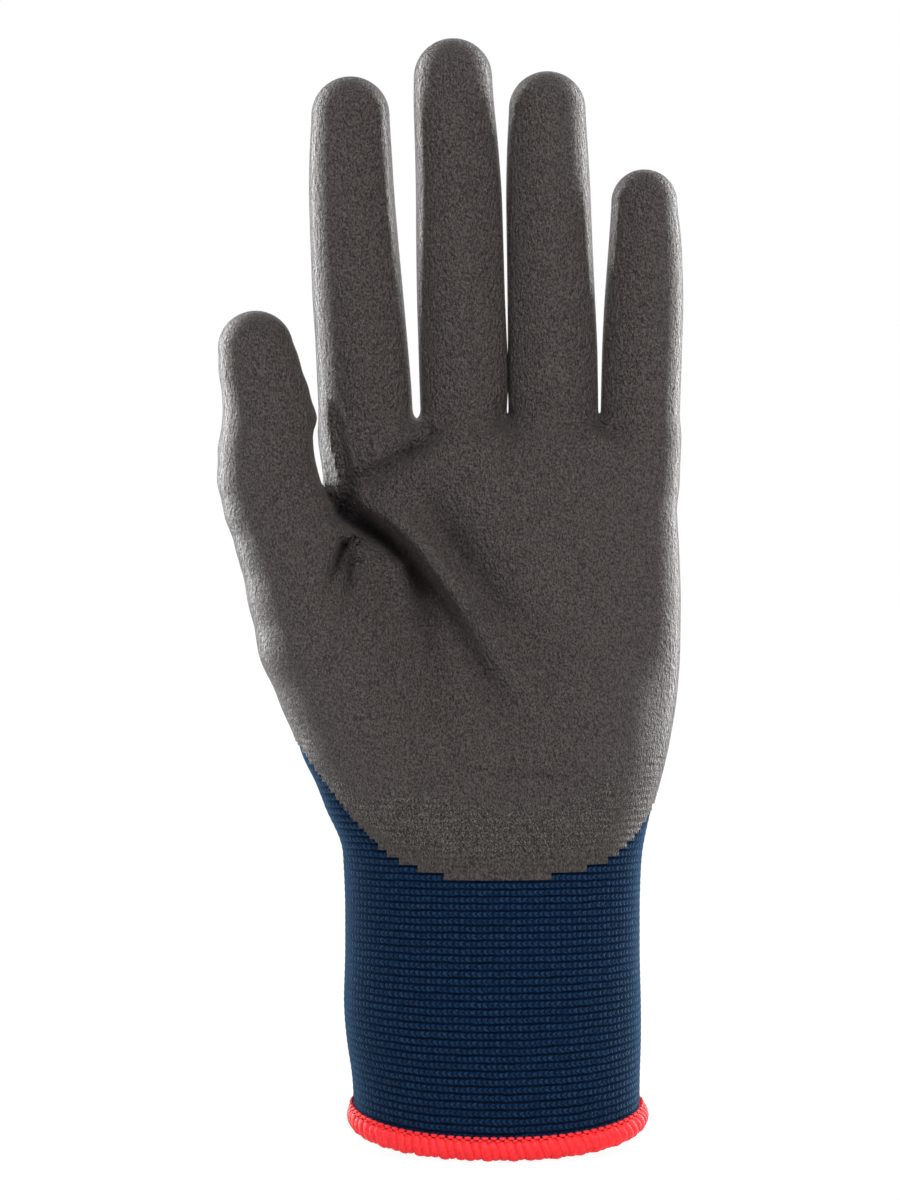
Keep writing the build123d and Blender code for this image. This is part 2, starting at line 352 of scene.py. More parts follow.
def stitch_place(p, stall):
    """Wales round the form and courses along it, in millimetres, for a place on the hand or on a stall."""
    x, y, z = p.T
    if stall == "hand":
        left, right, depth, forward = columns_at(TRUNK, z)
        centre = (left + right) / 2
    elif stall == "thumb":
        line = np.array(THUMB_LINE).T
        centre, forward, depth = (np.interp(z, line[2], line[n]) for n in (0, 1, 3))
    else:
        centre, depth = columns_at(FINGER_TABLES[stall], z)
        forward = 0
    round_side = 0.7 * (depth - np.abs(y - forward))
    return x + round_side * np.tanh((x - centre) / (0.5 * depth)), z


# ---------------- mesh helpers

def take(*objects):
    """Selects these objects alone, the first of them as the active one."""
    bpy.ops.object.select_all(action="DESELECT")
    for obj in objects:
        obj.select_set(True)
    bpy.context.view_layer.objects.active = objects[0]


def named(obj, name):
    obj.name = obj.data.name = name
    return obj


def points_of(obj):
    flat = np.empty(len(obj.data.vertices) * 3)
    obj.data.vertices.foreach_get("co", flat)
    return flat.reshape(-1, 3) / MM


def put_points(obj, p):
    obj.data.vertices.foreach_set("co", (p * MM).astype(np.float32).ravel())
    obj.data.update()


def centres_of(obj):
    flat = np.empty(len(obj.data.polygons) * 3)
    obj.data.polygons.foreach_get("center", flat)
    return flat.reshape(-1, 3) / MM


def apply_modifier(obj, kind, **settings):
    take(obj)
    modifier = obj.modifiers.new(kind.title(), kind)
    for name, value in settings.items():
        setattr(modifier, name, value)
    bpy.ops.object.modifier_apply(modifier=modifier.name)


def join(objects, name):
    take(*objects)
    bpy.ops.object.join()
    return named(objects[0], name)


def choose_faces(obj, mask):
    """Leaves exactly these faces selected, and the object in edit mode."""
    take(obj)
    mesh = obj.data
    bpy.context.tool_settings.mesh_select_mode = (False, False, True)
    mesh.vertices.foreach_set("select", np.zeros(len(mesh.vertices), bool))
    mesh.edges.foreach_set("select", np.zeros(len(mesh.edges), bool))
    mesh.polygons.foreach_set("select", mask.astype(bool))
    bpy.ops.object.mode_set(mode="EDIT")


def leave_edit():
    bpy.ops.object.mode_set(mode="OBJECT")


def score(obj, mask, place, normal):
    """Cuts these faces along a plane, and keeps both sides."""
    if mask.any():
        choose_faces(obj, mask)
        bpy.ops.mesh.bisect(plane_co=[c * MM for c in place], plane_no=normal, threshold=1e-7)
        leave_edit()


def separate(obj, mask, name):
    choose_faces(obj, mask)
    bpy.ops.mesh.separate(type="SELECTED")
    leave_edit()
    return named(next(o for o in bpy.context.selected_objects if o != obj), name)


def discard(obj, mask):
    bpy.data.objects.remove(separate(obj, mask, "discarded"))


def edit_all(obj, operator, **settings):
    """Runs one operator of edit mode on the whole mesh."""
    take(obj)
    bpy.ops.object.mode_set(mode="EDIT")
    bpy.ops.mesh.select_all(action="SELECT")
    operator(**settings)
    leave_edit()


def shade(obj, angle=50):
    take(obj)
    bpy.ops.object.shade_smooth_by_angle(angle=math.radians(angle))
    return obj


def set_stitches(obj, u, v):
    """Writes wale and course counts as the piece's UV map."""
    mesh = obj.data
    layer = mesh.uv_layers.get("stitches") or mesh.uv_layers.new(name="stitches")
    corner = np.empty(len(mesh.loops), int)
    mesh.loops.foreach_get("vertex_index", corner)
    layer.data.foreach_set("uv", np.stack((u[corner], v[corner]), -1).astype(np.float32).ravel())


def set_value(obj, name, values):
    layer = obj.data.attributes.new(name, "FLOAT", "POINT")
    layer.data.foreach_set("value", np.asarray(values, np.float32))


def finish_piece(obj, material, slot, *nodes):
    obj.data.materials.clear()
    obj.data.materials.append(material)
    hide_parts(*nodes)


# ---------------- materials

class Value:
    """A node's output socket with arithmetic."""

    def __init__(self, finish, socket):
        self.finish, self.socket = finish, socket

    def math(self, operation, *others):
        return self.finish.node("Math", dict(enumerate((self, *others))), operation=operation)

    def __add__(self, other): return self.math("ADD", other)
    def __mul__(self, other): return self.math("MULTIPLY", other)
    def __sub__(self, other): return self.math("SUBTRACT", other)
    def __pow__(self, other): return self.math("POWER", other)
    def __rsub__(self, other): return self.finish.node("Math", {0: other, 1: self}, operation="SUBTRACT")
    __radd__, __rmul__ = __add__, __mul__

    def sibling(self, output):
        """Another output of the same node."""
        return Value(self.finish, self.socket.node.outputs[output])

    def wave(self):
        return (self * (2 * math.pi)).math("COSINE")

    def between(self, low, high):
        return self.finish.node("MapRange", {"Value": self, "From Min": low, "From Max": high},
                                interpolation_type="SMOOTHSTEP")


class Nodes:
    """The nodes of a material or a world, added one by one."""

    def __init__(self, owner):
        owner.use_nodes = True
        self.tree = owner.node_tree
        self.tree.nodes.clear()

    def node(self, kind, inputs=None, output=0, **settings):
        made = self.tree.nodes.new("ShaderNode" + kind)
        for name, value in settings.items():
            setattr(made, name, value)
        for name, value in (inputs or {}).items():
            self.feed(made.inputs[name], value)
        return Value(self, made.outputs[output]) if made.outputs else None

    def feed(self, socket, value):
        if isinstance(value, Value):
            self.tree.links.new(value.socket, socket)
        else:
            socket.default_value = value


class Finish(Nodes):
    """A material round one principled shader."""

    def __init__(self, name):
        self.material = bpy.data.materials.new(name)
        super().__init__(self.material)
        self.shader = self.tree.nodes.new("ShaderNodeBsdfPrincipled")
        self.output = self.tree.nodes.new("ShaderNodeOutputMaterial")
        self.tree.links.new(self.shader.outputs[0], self.output.inputs[0])

    def set(self, **sockets):
        for name, value in sockets.items():
            self.feed(self.shader.inputs[name.replace("_", " ")], value)

    def mix(self, factor, low, high, blend="MIX"):
        return self.node("Mix", {0: factor, 6: low, 7: high}, 2, data_type="RGBA", blend_type=blend)

    def places(self, scale):
        coordinates = self.node("TexCoord", output=3)
        return self.node("VectorMath", {0: coordinates, 1: scale}, operation="MULTIPLY")

    def noise(self, scale, detail=3.0, rough=0.55):
        """Noise by so many lumps a metre, as one number or one for each direction."""
        scale = (scale,) * 3 if isinstance(scale, int) else scale
        return self.node("TexNoise", {"Vector": self.places(scale), "Scale": 1.0, "Detail": detail,
                                      "Roughness": rough})

    def bump(self, height, distance, strength):
        return self.node("Bump", {"Height": height, "Distance": distance, "Strength": strength})


def linear(colour):
    return tuple(c / 12.92 if c <= 0.04045 else ((c + 0.055) / 1.055) ** 2.4 for c in colour[:3]) + (1.0,)


def knit_heights(finish):
    """The face of the knit: rows of short dashes with a groove between the rows."""
    wale = finish.node("SeparateXYZ", {0: finish.node("UVMap", uv_map="stitches")})
    course = wale.sibling(1)
    drift = finish.noise(150, 2.0)
    uneven = finish.noise(700, 1.0)
    row = 0.5 - 0.5 * (course + drift * 0.3 + uneven * 0.25).wave()
    shift = 0.22 * (course + 0.25).wave()
    dash = 0.5 + 0.5 * (wale + shift + drift * 0.5 + uneven * 0.7).wave()
    return row, dash


def knit_material(name, colours):
    finish = Finish(name)
    row, dash = knit_heights(finish)
    fuzz = finish.noise(2600, 2.0)
    patches = finish.noise((330, 330, 500), 3.0)
    lumps = finish.noise((1000, 1000, 800), 1.0)
    # painted highlight: the raised stitch tops get the lighter dash colour; painted shade: the grooves between
    # courses get the dark groove colour
    light = row.between(0.08, 0.6) * dash.between(0.1, 0.7) * (0.35 + 0.9 * lumps.between(0.3, 0.7))
    deep = finish.mix(row.between(0.0, 0.3) * (0.5 + 0.5 * dash.between(0.0, 0.4)),
                      linear(colours.groove), linear(colours.navy))
    mixed = finish.mix(light * (fuzz.between(0.35, 0.62) * 0.7 + 0.3), deep, linear(colours.dash))
    toned = finish.mix(patches.between(0.35, 0.7) * 0.3, mixed, linear(colours.navy))
    relief = row * 0.5 + light * 0.7 + fuzz * 0.35
    finish.set(Base_Color=toned, Roughness=0.8, Normal=finish.bump(relief, 0.00026, 0.9),
               Sheen_Weight=0.3, Sheen_Roughness=0.45, Sheen_Tint=(0.3, 0.55, 0.9, 1.0), Specular_IOR_Level=0.0)
    return finish.material


def film_material(name, colours):
    finish = Finish(name)
    row, dash = knit_heights(finish)
    edge = finish.node("Attribute", output=2, attribute_name="edge")
    fold = finish.node("Attribute", output=2, attribute_name="fold")
    grain = finish.noise((3000, 3000, 1900), 3.0, 0.6)
    pores = finish.noise((5200, 5200, 3600), 2.0, 0.5)
    slow = finish.noise((120, 120, 70), 2.0)
    fine = grain.between(0.36, 0.62)
    near = 1 - edge.between(0.25, 1.0)
    tint = finish.mix(near * 0.8, linear(colours.film), linear(colours.film_edge))
    contrast = finish.mix(fine * 0.8 + pores.between(0.35, 0.65) * 0.2, (0.28, 0.28, 0.28, 1), (1.86, 1.85, 1.82, 1))
    grained = finish.mix(1.0, tint, contrast, "MULTIPLY")
    # beads of film stand on the stitches where it thins out, apart from its last courses; their light colour is a
    # painted highlight, glints painted onto them
    band = edge.between(0.12, 0.4) * (1 - edge.between(0.7, 1.05))
    lumps = finish.noise((1250, 1250, 780), 3.0, 0.6)
    bead = pores.between(0.44, 0.58) * grain.between(0.38, 0.54) * (row * dash.between(0.2, 0.7) * 0.9 + 0.2)
    pitted = finish.mix(band * (1 - pores.between(0.38, 0.5)) * 0.7, grained, linear(colours.film_pit))
    beads_with_glints = finish.mix(band * bead * 1.2, pitted, linear(colours.film_highlight))
    # fine creases across the ball of the thumb
    across = finish.node("SeparateXYZ", {0: finish.places((1000, 1000, 1000))})
    height = across.sibling(2)
    away = ((across + 25.0) * 0.13) ** 2.0 + ((height - 119.0) * 0.1) ** 2.0
    creases = (height * 0.85 + across * 0.05 + lumps * 0.9 + slow * 2.5).wave() * (1 - away.between(0.2, 1.2))
    print_through = near * (row * 0.5 + row * dash * 0.9)
    relief = (lumps * 3.4 + grain * 0.9 + pores * 0.3 + slow * 0.5 + print_through * 0.7
              + band * bead * 0.8 + creases * 0.12)
    # painted shade darkens the film down in the folds, and a painted highlight lightens the rise between them
    fold_shade = finish.mix(fold.between(1.2, 6.0) * 0.94, beads_with_glints, (0.004, 0.003, 0.003, 1))
    rise_highlight = finish.mix((0 - fold).between(0.6, 3.0) * 0.12, fold_shade, linear(colours.film_highlight))
    rough = 0.34 - fine * 0.1 + slow * 0.08 - near * dash * row * 0.1
    finish.set(Base_Color=rise_highlight, Roughness=rough, Specular_IOR_Level=0.22, Normal=finish.bump(relief, 0.001, 1.0))
    return finish.material


def thread_material(name, colour, groove):
    finish = Finish(name)
    strand = finish.noise((2200, 2200, 1100), 2.0)
    patch = finish.noise(400, 2.0)
    tint = finish.mix(strand.between(0.3, 0.6) * 0.7 + patch * 0.3, linear(groove), linear(colour))
    finish.set(Base_Color=tint, Roughness=0.6, Specular_IOR_Level=0.3, Normal=finish.bump(strand, 0.00016, 0.8))
    return finish.material


def material(name, make, *colours):
    return bpy.data.materials.get(name) or make(name, *colours)


# ---------------- the skin that all hand pieces are cut from

def ball(place, radius, squeeze=1.0):
    bpy.ops.mesh.primitive_uv_sphere_add(segments=24, ring_count=14, radius=radius * MM,
                                         location=[c * MM for c in place], scale=(1, squeeze, 1))
    return bpy.context.object


def post(x, y, low, high, wide, deep):
    bpy.ops.mesh.primitive_cylinder_add(vertices=40, radius=MM, depth=(high - low) * MM,
                                        location=(x * MM, y * MM, (low + high) / 2 * MM), scale=(wide, deep, 1))
    return bpy.context.object


def remesh(obj, size):
    apply_modifier(obj, "REMESH", mode="VOXEL", voxel_size=size * MM, use_smooth_shade=True)


def hand_skin(name, level, fineness, floor, sunk=0.0):
    """A closed skin over the whole hand above a height, settled on the form.

    The knit is sunk: it lies deeper where film covers it. The film isn't, and gets a finer mesh in the folds.
    """
    # posts and balls in the rough form of the hand, slimmer than it, are made into one skin
    parts = [post(0.5, 0, floor, 150, 37, 14)]
    for rows in FINGER_ROWS.values():
        tip = rows[-1]
        slim = tip[2] - BASE_GAP
        parts.append(post((rows[1][1] + tip[1]) / 2, 0, 145, tip[0], slim, slim * FINGER_DEPTH))
        parts.append(ball((tip[1], 0, tip[0]), slim, FINGER_DEPTH))
    parts += [ball(place[:3], place[3] - BASE_GAP) for place in THUMB_LINE]
    skin = join(parts, name)
    bpy.ops.object.transform_apply(location=True, rotation=True, scale=True)
    remesh(skin, ROUGH_MESH)
    put_points(skin, settle(points_of(skin), level - BASE_GAP, floor))
    remesh(skin, fineness * 0.9)
    put_points(skin, settle(points_of(skin), level, floor, 3))
    if not sunk:
        x, y, z = centres_of(skin).T
        choose_faces(skin, (np.abs(fold_depth(x, z)) > DEEP_FOLD) & (y < -1))
        bpy.ops.mesh.subdivide(number_cuts=1, smoothness=0)
        leave_edit()
    p = points_of(skin)
    x, y, z = p.T
    covered = smoothstep(0, -4, y) * smoothstep(3, 7, z - film_edge_height(x))
    deeper = sunk * (1 + 1.6 * np.clip(np.abs(fold_depth(x, z)), 0, 4.0))
    put_points(skin, settle(p, level - deeper * covered, floor, 3))
    return skin


def stall_marks(stall):
    """A stall's hinge points, the direction along it, and where it is divided, all in millimetres."""
    names = ("proximal", "middle", "tip") if stall != "thumb" else ("proximal", "tip")
    places = {joint["name"]: joint["pos_m"] for joint in frame["joints"]}
    hinges = [np.array(places[f"{stall}_{n}_flex"]) / MM for n in names]
    along = hinges[-1] - hinges[0]
    along /= np.linalg.norm(along)
    cuts = [hinges[0] - along * (FINGER_CUT if stall != "thumb" else THUMB_CUT)]
    cuts += [(a + b) / 2 for a, b in zip(hinges, hinges[1:])]
    return names, hinges, along, cuts


def stall_of(p):
    """Which of the stalls a place belongs to. The fingers are told apart as seen from the front."""
    x, y, z = p.T
    flat = [finger_distance(name, x, 0 * x, z) for name in FINGERS]
    to_finger = np.min([finger_distance(name, x, y, z) for name in FINGERS], axis=0)
    return np.where(thumb_distance(x, y, z) < to_finger, len(FINGERS), np.argmin(flat, axis=0))


def beyond(obj, cut, along, number=None):
    """How far each face lies beyond a cut. Of a whole skin, only the numbered stall's faces count."""
    centres = centres_of(obj)
    own = centres[:, 2] > STALL_FLOOR
    if number is not None:
        own &= stall_of(centres) == number
    return np.where(own, (centres - cut) @ along, -np.inf)


def cut_stalls(skin, kind):
    """Divides the skin into the hand and each stall's pieces, and returns them by stall and part."""
    made = {}
    for number, stall in enumerate(STALLS):
        names, _, along, cuts = stall_marks(stall)
        source, only = skin, number
        for part, cut in zip(names, cuts):
            score(source, np.abs(beyond(source, cut, along, only)) < 3, cut, along)
            source = separate(source, beyond(source, cut, along, only) > 0, f"{stall}_{part}_{kind}")
            only = None
            made[stall, part] = source
    made["hand", None] = skin
    return made


def follow_stall(obj, stall, part):
    """Bakes a stall's piece's placement into its mesh; the span of the joint that it crosses is worked out but not
    used.
    """
    names, hinges, _, cuts = stall_marks(stall)
    place = names.index(part)
    start = cuts[place]
    end = cuts[place + 1] if place + 1 < len(cuts) else 2 * hinges[-1] - start
    bodies = ["hand"] + [f"{stall}_{n}" for n in names]
    bodies[place + 1]
    tuple(start * MM)
    tuple(end * MM)
    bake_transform(obj)


def follow_wrist(obj):
    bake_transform(obj)


def make_wall(skin, thickness, stall, pitch):
    """Gives a piece of skin its thickness, and its UV map in wales and courses."""
    apply_modifier(skin, "SOLIDIFY", thickness=thickness * MM, offset=-1)
    u, v = stitch_place(points_of(skin), stall)
    set_stitches(skin, u / WALE_WIDTH, v / pitch)
    shade(skin)


def film_edge_height(x):
    """The height of the film's end on the palm, at a place across."""
    table = np.array(FILM_EDGE)
    return np.interp(x, table[:, 0], table[:, 1])


# ---------------- tubes of courses

def hem_drop(height, y):
    """How far a course hangs down at the front of the cuff."""
    lean = -y / 22.5
    front = 0.5 * (lean + np.sqrt(lean * lean + 0.09))
    return (HEM_DROP * front - HEM_LIFT) * np.clip(1 - height / HEM_DROP_END, 0, 1.3) ** 1.4


def rings(heights, columns, level):
    """Courses round the form, evenly spaced: an array of rows, columns + 1, and 3."""
    heights = np.asarray(heights, float)[:, None]
    level = np.broadcast_to(np.asarray(level, float).reshape(-1, 1), (len(heights), 1))
    turn = np.linspace(0, 2 * math.pi, 2 * columns, endpoint=False)
    reach = 27 + 0 * heights + 0 * turn  # the first guess at how far the form is from the middle

    def at(reach):
        y = reach * np.cos(turn)
        return np.stack((-1 + reach * np.sin(turn), y, heights - hem_drop(heights, y)), -1)

    for _ in range(6):
        gap = hand_distance(at(reach)) - level
        slope = (hand_distance(at(reach + 0.05)) - hand_distance(at(reach - 0.05))) / 0.1
        reach = reach - np.clip(gap / np.maximum(slope, 0.35), -6, 6)
    rows = []
    for row in at(reach):
        closed = np.vstack((row, row[:1]))
        length = np.concatenate(([0], np.cumsum(np.linalg.norm(np.diff(closed, axis=0), axis=1))))
        even = np.linspace(0, length[-1], columns + 1)
        rows.append(np.stack([np.interp(even, length, c) for c in closed.T], -1))
    return np.array(rows)


def woven_grid(name, rows, u, v):
    """A grid whose corners are put at rows of points, with its UV map in wales and courses."""
    down, across = rows.shape[0] - 1, rows.shape[1] - 1
    bpy.ops.mesh.primitive_grid_add(x_subdivisions=across, y_subdivisions=down, size=1, calc_uvs=True)
    obj = named(bpy.context.object, name)
    flat = points_of(obj) * MM
    if len(flat) != (down + 1) * (across + 1):
        raise RuntimeError(f"{name}: the grid has {len(flat)} corners")
    i = np.rint((flat[:, 0] + 0.5) * across).astype(int)
    j = np.rint((flat[:, 1] + 0.5) * down).astype(int)
    put_points(obj, rows[j, i])
    obj.data.uv_layers[0].name = "stitches"
    set_stitches(obj, np.asarray(u)[i], np.asarray(v)[j])
    edit_all(obj, bpy.ops.mesh.remove_doubles, threshold=1e-6)
    edit_all(obj, bpy.ops.mesh.normals_make_consistent, inside=False)
    return obj


def knit_tube(name, low, high, sizes):
    """A closed wall of knit from one height to another, its courses standing out."""
    pitch = sizes.course_pitch / MM
    outer = np.linspace(low, high, int(round((high - low) / pitch * 5)) + 1)
    inner = np.linspace(high, low, 12)
    row = 0.5 - 0.5 * np.cos(2 * math.pi * outer / pitch)
    depth = 0.06 * (1 - smoothstep(66, 84, outer))
    around = sizes.columns
    rows = np.concatenate((rings(outer, around, -depth * (1 - row)), rings(inner, around, -KNIT_WALL)))
    rows = np.concatenate((rows, rows[:1]))
    u = np.linspace(0, sizes.wales, around + 1)
    v = np.concatenate((outer, inner, outer[:1])) / pitch
    return shade(woven_grid(name, rows, u, v), 70)


def tube_along(name, path, radius):
    """A closed round of thread along a closed path."""
    path = np.vstack((path[:-1], path[:1]))
    ahead = unit(np.vstack((path[1:], path[1:2])) - np.vstack((path[-2:-1], path[:-1])))
    side = unit(np.cross(ahead, (0, 0, 1)))
    up = np.cross(side, ahead)
    turn = np.linspace(0, 2 * math.pi, 7)
    rows = path[None] + radius * (np.cos(turn)[:, None, None] * side + np.sin(turn)[:, None, None] * up)
    return shade(woven_grid(name, rows, np.arange(len(path)), turn), 80)


# ---------------- what a user may change

class GloveSizes(bpy.types.PropertyGroup):
    course_pitch: FloatProperty(name="Course pitch", description="Height of one knitted course",
                                default=1.55 * MM, unit="LENGTH")
    wales: IntProperty(name="Wales", description="Columns of stitches round the cuff", default=142)
    columns: IntProperty(name="Mesh columns", description="Mesh columns round the cuff", default=220)
    knit_fineness: FloatProperty(name="Knit mesh", description="Mesh size of the knit hand", default=0.95 * MM,
                                 unit="LENGTH")
    film_fineness: FloatProperty(name="Film mesh", description="Mesh size of the film", default=0.72 * MM,
                                 unit="LENGTH")
    hem_loops: IntProperty(name="Hem loops", description="Overlock loops round the hem", default=92)


def colour(name, description, default):
    return FloatVectorProperty(name=name, description=description, default=default, subtype="COLOR")


class GloveColours(bpy.types.PropertyGroup):
    navy: colour("Knit", "Yarn colour", (0.045, 0.105, 0.20))
    # painted highlight: the colour of the lit stitch tops
    dash: colour("Knit light", "Yarn colour on top of a stitch", (0.116, 0.222, 0.336))
    # painted shade: the colour in the grooves between courses
    groove: colour("Knit groove", "Colour between courses", (0.008, 0.03, 0.085))
    film: colour("Film", "Film colour", (0.308, 0.284, 0.277))
    film_edge: colour("Film edge", "Film colour where it thins out", (0.31, 0.286, 0.272))
    film_pit: colour("Film pits", "Film colour between the stitches", (0.10, 0.09, 0.09))
    # painted highlight: glints on the film's beads and the lit rise between the folds
    film_highlight: colour("Film beads", "Film colour on top of a stitch", (0.62, 0.60, 0.57))
    hem: colour("Hem", "Overlock thread colour", (1.0, 0.20, 0.22))
    hem_groove: colour("Hem groove", "Overlock thread in its grooves", (0.90, 0.10, 0.14))
    elastic: colour("Elastic", "Elastic yarn colour", (0.10, 0.12, 0.17))


def yarn():
    return material("navy_yarn", knit_material, bpy.context.scene.glove_colours)


def film():
    return material("charcoal_film", film_material, bpy.context.scene.glove_colours)


# ---------------- pieces

class GLOVE_OT_cuff(bpy.types.Operator):
    """Knits the cuff and the wrist"""
    bl_idname = "glove.cuff"
    bl_label = "Cuff and wrist knit"

    def execute(self, context):
        sizes = context.scene.glove_sizes
        cuff = knit_tube("cuff_knit", CUFF_START, CUFF_END, sizes)
        finish_piece(cuff, yarn(), "navy_knit", "cuff_liner")
        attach(cuff, "cuff")
        sleeve = knit_tube("wrist_sleeve", CUFF_END, SLEEVE_END, sizes)
        finish_piece(sleeve, yarn(), "navy_knit", "wrist_knit")
        follow_wrist(sleeve)
        return {"FINISHED"}


class GLOVE_OT_hem(bpy.types.Operator):
    """Binds the cuff's edge with overlock loops, their chain and the elastic inside"""
    bl_idname = "glove.hem"
    bl_label = "Hem"

    def execute(self, context):
        sizes, colours = context.scene.glove_sizes, context.scene.glove_colours
        red = material("red_overlock", thread_material, colours.hem, colours.hem_groove)
        count = sizes.hem_loops
        ring = rings([HEM_HEIGHT / 2], count * LOOP_STEPS, -0.5)[0]
        ahead = unit(np.roll(ring[:-1], -1, 0) - np.roll(ring[:-1], 1, 0))
        outward = unit(np.cross(ahead, (0, 0, 1)))
        outward *= np.sign((outward[0] * (ring[0] - ring[:-1].mean(0))).sum())
        up = np.cross(outward, ahead)
        up *= np.sign(up[:, 2:3])

        roll = self.overlock(ring, ahead, outward, up, count)
        finish_piece(roll, red, "hem_thread", "hem_overlock")
        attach(roll, "cuff")
        wave = np.arange(count * LOOP_STEPS) / LOOP_STEPS * 2 * math.pi
        chain = ring[:-1] + outward * CHAIN_OUT + up * (CHAIN_UP + CHAIN_SWING * np.cos(wave))[:, None]
        chain += ahead * (CHAIN_SWING * np.sin(2 * wave))[:, None]
        stitches = tube_along("hem_stitches", np.vstack((chain, chain[:1])), CHAIN_RADIUS)
        finish_piece(stitches, red, "hem_thread", "hem_needle_thread")
        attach(stitches, "cuff")

        grey = material("elastic_yarn", thread_material, colours.elastic, ELASTIC_COLOUR_DEEP)
        low, high = (corner.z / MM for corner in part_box("cuff_elastic_yarn"))
        heights = np.arange(low + 0.4, high, ELASTIC_SPACING)
        elastic = join([tube_along("elastic", row, ELASTIC_RADIUS)
                        for row in rings(heights, ELASTIC_COLUMNS, -KNIT_WALL - 0.1)], "cuff_elastic")
        finish_piece(elastic, grey, "elastic_yarn", "cuff_elastic_yarn")
        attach(elastic, "cuff")
        return {"FINISHED"}

    def overlock(self, ring, ahead, outward, up, count):
        """The loops round the edge, each a ring drawn out of round and set at its own slant."""
        bpy.ops.mesh.primitive_torus_add(major_segments=14, minor_segments=8, major_radius=1, minor_radius=LOOP_TUBE)
        first = bpy.context.object
        local = points_of(first) * MM
        turn, tube = np.arctan2(local[:, 1], local[:, 0]), np.hypot(local[:, 0], local[:, 1]) - 1
        swell = tube / LOOP_TUBE * LOOP_THREAD
        rise = (LOOP_RISE + swell) * np.sin(turn)
        loops = []
        for number in range(count):
            k = number * LOOP_STEPS
            base = ring[k]
            sway = math.sin(number * 2.399) * 0.12
            flare = abs(base[0]) / 33 * (0.9 if base[0] > 0 else 0.4)
            out = (LOOP_REACH + flare + swell) * np.cos(turn)
            lean = 0.14 + 0.8 * sway
            wide = (local[:, 2] / LOOP_TUBE * (LOOP_WIDTH + sway) + lean * rise * (out > -0.4)
                    + 0.25 * np.sin(turn * 2))
            loop = first.copy()
            loop.data = first.data.copy()
            bpy.context.collection.objects.link(loop)
            place = base + out[:, None] * outward[k] + (rise * (1 + 0.5 * sway))[:, None] * up[k]
            put_points(loop, place + wide[:, None] * ahead[k])
            loops.append(loop)
        bpy.data.objects.remove(first)
        roll = join(loops, "hem_roll")
        edit_all(roll, bpy.ops.mesh.normals_make_consistent, inside=False)
        return shade(roll, 80)


class GLOVE_OT_knit_hand(bpy.types.Operator):
    """Knits the hand, fingers and thumb"""
    bl_idname = "glove.knit_hand"
    bl_label = "Knit hand"

    def execute(self, context):
        sizes = context.scene.glove_sizes
        skin = hand_skin("hand_knit", KNIT_LEVEL, sizes.knit_fineness / MM, 74.0, KNIT_SINK)
        score(skin, np.abs(centres_of(skin)[:, 2] - SLEEVE_END) < 4, (0, 0, SLEEVE_END), (0, 0, 1))
        discard(skin, centres_of(skin)[:, 2] < SLEEVE_END)
        for (stall, part), piece in cut_stalls(skin, "knit").items():
            make_wall(piece, KNIT_WALL, stall, sizes.course_pitch / MM)
            if stall == "hand":
                finish_piece(piece, yarn(), "navy_knit", "hand_liner")
                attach(piece, "hand")
            else:
                finish_piece(piece, yarn(), "navy_knit", f"{stall}_{part}_liner", f"{stall}_{part}_fold")
                follow_stall(piece, stall, part)
        return {"FINISHED"}


